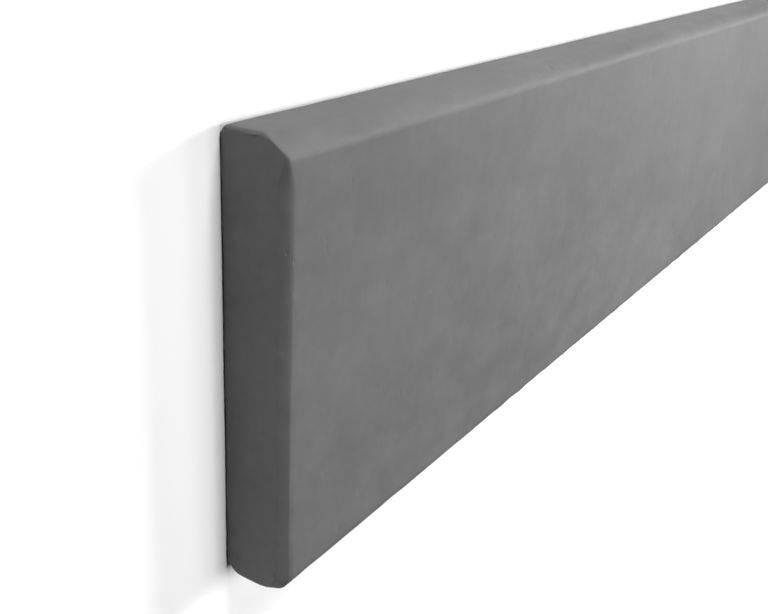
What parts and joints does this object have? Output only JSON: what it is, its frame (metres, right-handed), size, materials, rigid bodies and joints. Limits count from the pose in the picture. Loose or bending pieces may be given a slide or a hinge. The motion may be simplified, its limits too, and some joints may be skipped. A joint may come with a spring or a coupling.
{
  "type": "concrete fence plinth",
  "caption": "Plain cast concrete plank with rounded edges, laid on edge under a fence panel to close the gap to the ground and hold back low soil.",
  "frame": {"origin": "centre of the back face, which lies on the floor", "axes": "+X along the plank, +Y towards its upper edge in the fence, +Z out of its show face"},
  "size_m": [2.4, 0.3, 0.05],
  "materials": {
    "concrete": "smooth cast grey concrete, softly mottled, with a dull sheen and a few fine pits"
  },
  "bodies": {
    "root": {"plinth": "concrete"}
  },
  "joints": []
}
